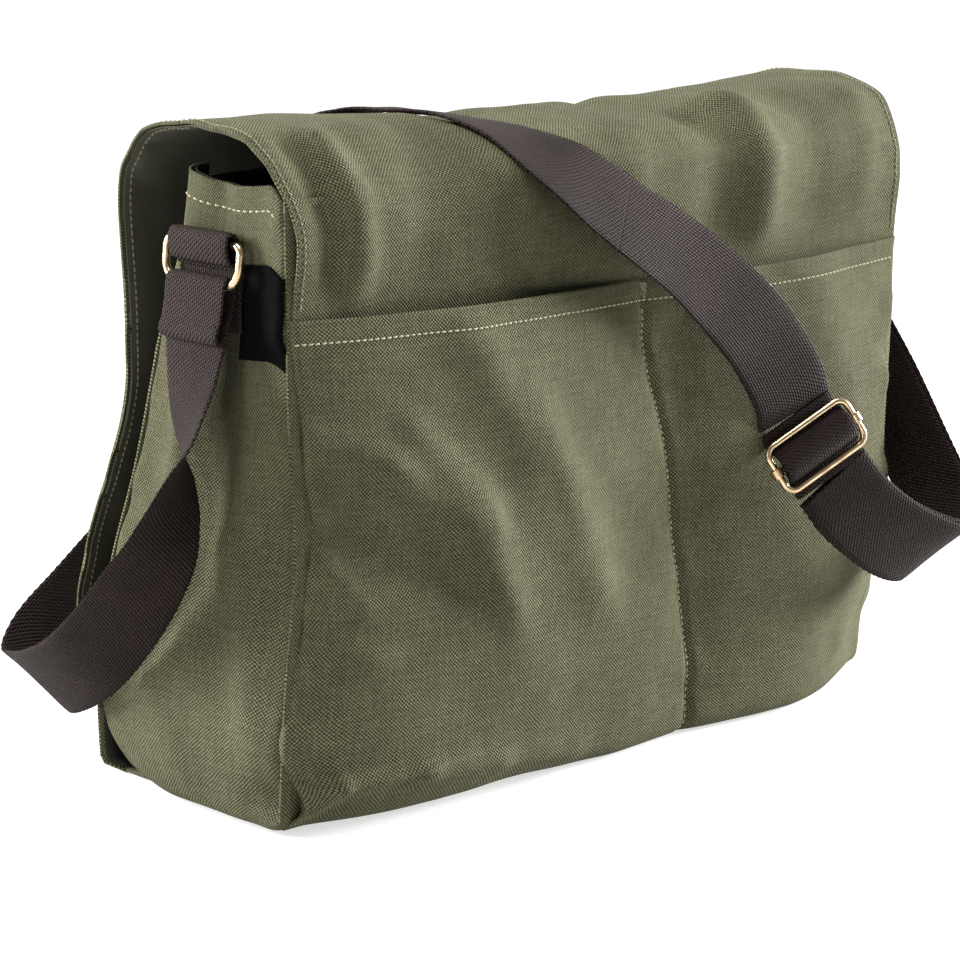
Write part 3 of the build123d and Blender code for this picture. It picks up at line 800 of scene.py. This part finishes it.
def make_pocket():
    """Back pocket with its hem and divider stitches."""
    points = pocket_points()
    body_sheet("pocket_cloth", points, CLOTH, CANVAS, "olive_canvas", "back_pocket_panel")
    hem = [(row, POCKET_HEM_SHARE) for row in np.linspace(0.006, 0.994, 200)]
    sewn("pocket_hem_stitches", points, hem, "bag", CREAM)
    divider = [(divider_row(high), high / 211) for high in np.linspace(2, 201, 120)]
    stitches = sewn("divider_stitches", points, divider, "bag", CREAM)
    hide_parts("pocket_seam_stitches")
    top = divider_row(208)
    zigzag = []
    for step in range(TACK_STEPS):
        high = 0.992 - 0.0024 * step
        zigzag += [(top + TACK_HALF, high), (top - TACK_HALF + step * 0.0006, high)]
    tack = sewn("pocket_tack_stitches", points, zigzag, "bag", TONAL, radius=0.3 * MM)
    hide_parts("pocket_bartack")


def divider_row(high):
    """Row of the pocket's grid on which the divider seam lies at a height."""
    return (1 - float(curve(DIVIDER_LINE, high)) / 189) / 2


def sewn(name, points, wanted, body, material, slot="cream_thread", **size):
    """Stitches along places on a grid, riding on a body."""
    path, ups = row_on(points, wanted)
    stitches = stitch_row(name, path, ups, material, **size)
    if body:
        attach(stitches, body)
    return stitches


make_walls()
make_end_details()
make_pocket()


# ---------------------------------------------------------------- flap


def flap_piece(name, points, thickness, material, slot, front, *nodes):
    """Part of the flap, with its transform baked into its points."""
    piece = cloth_piece(name, points, thickness, material)
    flap_bend(piece, front)
    if nodes:
        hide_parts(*nodes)
    return piece


def flap_bend(piece, front):
    """Bakes the piece's transform into its points, the same way for back and front pieces."""
    if front:
        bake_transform(piece)
    else:
        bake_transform(piece)


def lining_under(points, first, last):
    """Lining behind the flap's canvas: a little narrower, and slack with small gathers along its ends."""
    rows, columns = points.shape[:2]
    s, t = grid(np.linspace(pi / 2, -pi / 2, rows), np.linspace(first, last, columns))
    place, down = np.sin(s) * FLAP_HALF / MM, t * FLAP_STEP
    near_end = smooth_step(110, 184, np.abs(place)) * smooth_step(40, 80, down) * smooth_step(215, 165, down)
    pleats = 1.4 + 1.2 * lumps(down, place * 0.25, 7, 44) + 0.9 * lumps(down, place * 0.5, 13, 45)
    sewn_edge = smooth_step(FLAP_HALF / MM - 1, FLAP_HALF / MM - 7, np.abs(place))
    gap = CLOTH + (0.15 + np.maximum(near_end * pleats, 0) * (0.25 + 0.75 * sewn_edge)) * MM
    under = points - grid_normals(points) * gap[:, :, None]
    under[:, :, 0] *= 1 - 1.6 * MM / FLAP_HALF
    return under


def flap_row(place):
    """Row of the flap's grid at a place across it, in mm."""
    return (pi / 2 - np.arcsin(place * MM / FLAP_HALF)) / pi


def make_flap():
    """Canvas and lining of the flap, in a back piece and a front piece, and its edge stitches."""
    last = len(END_PROFILE) - 1
    edge, inset = FLAP_HALF / MM, 3.2
    for part, first, end, columns in (("back", 0, FLAP_SPLIT, 90), ("front", FLAP_SPLIT, last, 140)):
        front = part == "front"
        points = flap_points(first, end, 200, columns)
        under = lining_under(points, first, end)
        node = ("flap_front_canvas",) if front else ("flap_root_canvas", "flap_top_canvas")
        under_node = ("flap_front_lining",) if front else ("flap_root_lining", "flap_top_lining")
        flap_piece(f"flap_{part}_cloth", points, CLOTH, CANVAS, "olive_canvas", front, *node)
        flap_piece(f"flap_{part}_skin", under, SKIN, FLAP_LINING, "flap_lining", front, *under_node)
        if not front:
            sides = [flap_row(side * (edge - inset)) for side in (1, -1)]
            rows = [[(across, c) for c in np.linspace(0.1, 1, 90)] for across in sides]
        else:
            rows = [front_edge_path(first, edge, inset)]
        inner_face = (under - grid_normals(under) * SKIN)[::-1]
        for number, row in enumerate(rows):
            mirrored = [(1 - r, c) for r, c in row]
            for label, face, wanted in (("stitches", points, row), ("under_stitches", inner_face, mirrored)):
                name = f"flap_{part}_{label}_{number}"
                stitches = sewn(name, face, wanted, None, TONAL, "olive_canvas", length=FLAP_STITCH)
                flap_bend(stitches, front)


def front_edge_path(first, edge, inset):
    """Grid places just inside the flap's edge: down a side, along the lower edge and up the other side."""
    across = np.sin(np.linspace(pi / 2, -pi / 2, 240)) * (edge - inset)
    path = []
    for place in across:
        rise = inset + float(corner_rise(place, FLAP_CORNER - inset, edge - FLAP_CORNER))
        trimmed = float(corner_rise(place, FLAP_CORNER, edge - FLAP_CORNER))
        reach = profile_at(FLAP_BOTTOM + rise) - first
        path.append((flap_row(place), min(1.0, reach / (profile_at(FLAP_BOTTOM + trimmed) - first))))
    up = [(path[0][0], share) for share in np.linspace(0.0, path[0][1], 90)[:-1]]
    down = [(path[-1][0], share) for share in np.linspace(path[-1][1], 0.0, 90)[1:]]
    return up + path + down


make_flap()


# ---------------------------------------------------------------- shoulder strap

# Stations along the strap in mm: (centre, direction of the width), from the right ring round the front and
# over the flap to the slider, then from the slider to the left ring.
UPPER_ROUTE = [
    ((193.4, 12, 201), (0, 1, 0)),
    ((196.5, 12, 180), (0.2, 0.98, 0)),
    ((201, 14, 160), (0.5, 0.86, 0.05)),
    ((205, 14, 144), (0.8, 0.55, 0.2)),
    ((208, 11, 128), (0.86, 0.3, 0.4)),
    ((210, 2, 108), (0.82, 0.1, 0.56)),
    ((211, -19, 82), (0.78, -0.05, 0.62)),
    ((210, -48, 57), (0.7, -0.2, 0.68)),
    ((205, -78, 42), (0.58, -0.4, 0.7)),
    ((196, -104, 36), (0.43, -0.58, 0.69)),
    ((182, -115, 47), (0.45, -0.42, 0.78)),
    ((163, -112, 66), (0.55, -0.2, 0.81)),
    ((142, -104, 92), (0.65, 0, 0.76)),
    ((118, -88, 128), (0.78, 0, 0.62)),
    ((100, -70, 165), (0.88, 0, 0.47)),
    ((84, -60, 205), (0.94, 0, 0.34)),
    ((72, -58, 240), (0.96, 0, 0.28)),
    ((69, -59, 263), (0.97, 0.05, 0.24)),
    ((67, -49, 276.5), (0.95, 0.2, 0.18)),
    ((65, -32, 282.2), (0.9, 0.42, 0.1)),
    ((63, -8, 283), (0.87, 0.49, 0.11)),
    ((60, 20, 282.8), (0.84, 0.53, 0.13)),
    ((54, 44, 278.4), (0.85, 0.52, -0.04)),
    ((42, 65.5, 265.3), (0.74, 0.48, -0.43)),
    ((24, 73.5, 250.5), (0.62, 0.4, -0.68)),
    ((2, 77, 235), (0.52, 0.36, -0.77)),
    ((-22, 75.5, 221), (0.55, 0.25, -0.8)),
    ((-46, 76, 203.5), (0.64, 0.05, -0.77)),
    ((-68, 79, 182), (0.76, -0.12, -0.63)),
    ((-86, 80, 158), (0.8, -0.24, -0.55)),
    ((-94.0, 77.8, 143.2), (0.8, -0.30, -0.5)),
]
LOWER_ROUTE = [
    ((-107.9, 90.2, 112.6), (-0.8, 0.30, 0.5)),
    ((-119, 96, 97), (-0.77, 0.32, 0.54)),
    ((-142, 99, 80), (-0.72, 0.36, 0.58)),
    ((-168, 97, 70), (-0.66, 0.44, 0.6)),
    ((-189, 88, 70), (-0.5, 0.6, 0.62)),
    ((-203, 74, 82), (-0.28, 0.8, 0.53)),
    ((-207, 57, 106), (-0.08, 0.9, 0.42)),
    ((-206, 38, 138), (0, 0.95, 0.3)),
    ((-200.5, 18, 173), (0, 0.99, 0.1)),
    ((-194, 12, 201), (0, 1, 0)),
]
WEAVE = [
    (-16.8, -3.4), (-11.4, -3.6), (-8.2, -1.4), (-3.6, 4.6),
    (3.6, 4.6), (8.2, -1.4), (11.4, -3.6), (16.8, -3.4),
]  # fmt: skip
SLIDER_CENTRE = np.array([-99, 87, 128.5])
SLIDER_ALONG = np.array([-0.40, 0.35, -0.85])
SLIDER_ACROSS = np.array([-0.80, 0.30, 0.50])
LAYER_STEP = 3.4  # mm between the middles of the doubled strap's two layers
HALF_WEB = 19.7 * MM
WEB_THICK = 1.9 * MM
TAB_HALF = 19.6 * MM
FOLD_HALF = 19.4 * MM
WEB_STEPS = 30  # sections between two stations


def web_path(route, first, last, steps):
    """Centres and width directions along part of a route, smooth through every station."""
    places = np.array([centre for centre, _ in route], float)
    widths = np.array([across for _, across in route], float)
    order = np.arange(len(route))
    at = np.linspace(first, last, steps)
    centres = np.stack([curve(list(zip(order, places[:, k])), at) for k in range(3)], axis=1)
    across = np.stack([curve(list(zip(order, widths[:, k])), at) for k in range(3)], axis=1)
    return centres * MM, across


def web_frames(centres, across):
    """Unit vectors along the webbing, over its width and out of its face."""
    along = np.gradient(centres, axis=0)
    along /= np.linalg.norm(along, axis=1, keepdims=True)
    across = across - along * (across * along).sum(axis=1, keepdims=True)
    across = across / np.linalg.norm(across, axis=1, keepdims=True)
    return along, across, np.cross(across, along)


def webbing_strip(name, centres, frames, start=0.0, half=HALF_WEB, thickness=WEB_THICK):
    """Closed strip of webbing with rounded, slightly uneven selvedges. Returns the piece and its length."""
    _, across, out = frames
    steps = np.linalg.norm(np.diff(centres, axis=0), axis=1)
    reach = start + np.concatenate([[0], np.cumsum(steps)])
    outline = []
    flat = np.linspace(-1, 1, 17)
    for u in flat:
        outline.append((u * (half - thickness * 0.35), thickness / 2 * (1 - 0.35 * u**8), u))
    outline.append((half, 0.0, 1.0))
    for u in flat[::-1]:
        outline.append((u * (half - thickness * 0.35), -thickness / 2 * (1 - 0.35 * u**8), u))
    outline.append((-half, 0.0, -1.0))
    points, uvs, faces = [], [], []
    for index in range(len(centres)):
        serration = 0.16 * MM * np.sin(reach[index] / (1.9 * MM) * pi)
        for side, lift, u in outline:
            side = side + np.sign(u) * (abs(u) == 1) * serration
            points.append(centres[index] + across[index] * side + out[index] * lift)
            uvs.append((reach[index], side))
    count = len(outline)
    for ring in range(len(centres) - 1):
        for k in range(count):
            a, b = ring * count + k, ring * count + (k + 1) % count
            faces.append((a, b, b + count, a + count))
    faces.append(tuple(reversed(range(count))))
    faces.append(tuple((len(centres) - 1) * count + k for k in range(count)))
    return add_mesh(name, points, faces, uvs, WEBBING), float(reach[-1])


def make_strap():
    """The strap in pieces that meet end to end: the back piece rides on the bag and the slider's piece on the
    slider, and the rest are fixed in place.
    """
    runs = [
        ("strap_side_web", 0, 3.5, "ring_right", "bag", (0.193, 0.012, 0.201), (0.203, 0.014, 0.150)),
        ("strap_loop_web", 3.5, 9, "bag", "flap_top", (0.205, 0.010, 0.130), (0.205, -0.078, 0.042)),
        ("strap_rise_web", 9, 14, "flap_top", "flap_front", (0.196, -0.104, 0.036), (0.150, -0.108, 0.080)),
        ("strap_front_web", 14, 19.5, "flap_front", "flap_top", (0.065, -0.058, 0.25), (0.06, -0.04, 0.286)),
        ("strap_top_web", 19.5, 24.5, "flap_top", "bag", (0.050, 0.030, 0.289), (0.030, 0.067, 0.262)),
        ("strap_back_web", 24.5, 30, "bag", None, None, None),
    ]
    reach = 0.0
    centres, across = web_path(UPPER_ROUTE, 0, 30, 30 * WEB_STEPS + 1)
    frames = web_frames(centres, across)
    nodes = {
        "strap_side_web": ["strap_side_run"],
        "strap_front_web": ["strap_front_run"],
        "strap_top_web": ["strap_top_run"],
        "strap_back_web": ["strap_back_run"],
    }
    for name, first, last, near, far, start, end in runs:
        part = slice(int(first * WEB_STEPS), int(last * WEB_STEPS) + 1)
        piece, reach = webbing_strip(name, centres[part], [axis[part] for axis in frames], reach)
        if far:
            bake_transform(piece)
        else:
            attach(piece, near)
        finish_web(nodes.get(name, []))

    centre, along = SLIDER_CENTRE, SLIDER_ALONG / np.linalg.norm(SLIDER_ALONG)
    width = SLIDER_ACROSS / np.linalg.norm(SLIDER_ACROSS)
    out = -np.cross(width, along)
    weave = [(tuple(centre + along * a + out * o), tuple(-width)) for a, o in WEAVE]
    centres, across = web_path(weave, 0, len(weave) - 1, 130)
    piece, reach = webbing_strip("strap_slider_web", centres, web_frames(centres, across), reach)
    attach(piece, "slider")
    finish_web(["strap_slider_run"])

    steps = 260
    centres, across = web_path(LOWER_ROUTE, 0, len(LOWER_ROUTE) - 1, steps)
    frames = web_frames(centres, across)
    piece, reach = webbing_strip("strap_adjust_web", centres, frames, reach)
    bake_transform(piece)
    finish_web(["strap_adjust_run"])
    inner, _ = webbing_strip("strap_return_web", centres + frames[2] * LAYER_STEP * MM, frames)
    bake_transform(inner)
    finish_web(["strap_return_run"])
    return reach


# Side views of the webbing at the rings in mm, (x, z): the sewn tab over the bar and the strap's end over
# the bow.
TAB_LINE = [
    (184.8, 205), (185.2, 222), (185.4, 236), (185.5, 241.5), (186.6, 244.3), (188.5, 245.3), (190.6, 244.4),
    (191.6, 241.5), (191.4, 237.5), (190.2, 234.0), (187.6, 232.6), (186.6, 231.0),
]  # fmt: skip
FOLD_LINE = [
    (193.4, 201), (191.6, 207), (189.0, 214), (187.6, 220.5), (187.7, 224.5), (189.0, 226.9), (191.0, 227.2),
    (192.7, 225.6), (193.4, 222.6), (194.2, 216), (195.4, 210), (196.9, 206.5),
    (197.4, 204), (196.6, 202.2), (195.6, 202.0),
]  # fmt: skip
BAR_LINE = [
    (17, -6.4), (8, -4.6), (1.5, -2.5), (-1.2, -2.0), (-2.3, 0),
    (-1.2, 2.0), (1.0, 2.1), (2.6, 0.4), (5, -2.2), (10, -3.0),
]  # fmt: skip


def loop_web(name, places, across, half, slot_nodes, body):
    """Short length of webbing through a few points."""
    route = [(place, across) for place in places]
    centres, width = web_path(route, 0, len(route) - 1, len(route) * 9)
    piece, _ = webbing_strip(name, centres, web_frames(centres, width), half=half)
    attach(piece, body)
    finish_web(slot_nodes)
    return piece


def make_loops():
    """Tabs on the gussets, strap ends round the rings and the strap end round the slider's bar."""
    for name, side in (("right", 1), ("left", -1)):
        tab = [(side * x, 12, z) for x, z in TAB_LINE]
        loop_web(f"tab_web_{name}", tab, (0, side, 0), TAB_HALF, [f"ring_tab_{name}"], "bag")
        fold_line = [(side * x, 12, z) for x, z in FOLD_LINE]
        nodes = [f"strap_fold_{name}"]
        loop_web(f"fold_web_{name}", fold_line, (0, side, 0), FOLD_HALF, nodes, f"ring_{name}")
    centre, along = SLIDER_CENTRE, SLIDER_ALONG / np.linalg.norm(SLIDER_ALONG)
    width = SLIDER_ACROSS / np.linalg.norm(SLIDER_ACROSS)
    out = -np.cross(width, along)
    bar = [tuple(centre + along * a + out * o) for a, o in BAR_LINE]
    loop_web("bar_end_web", bar, tuple(-width), 18.4 * MM, ["strap_bar_end"], "slider_bar")


def finish_web(nodes):
    if nodes:
        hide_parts(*nodes)


make_strap()
make_loops()

for node in ("ring_left", "ring_right", "slider_frame", "slider_bar"):
    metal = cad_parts[node]
    metal.data.materials.clear()
    metal.data.materials.append(BRASS)
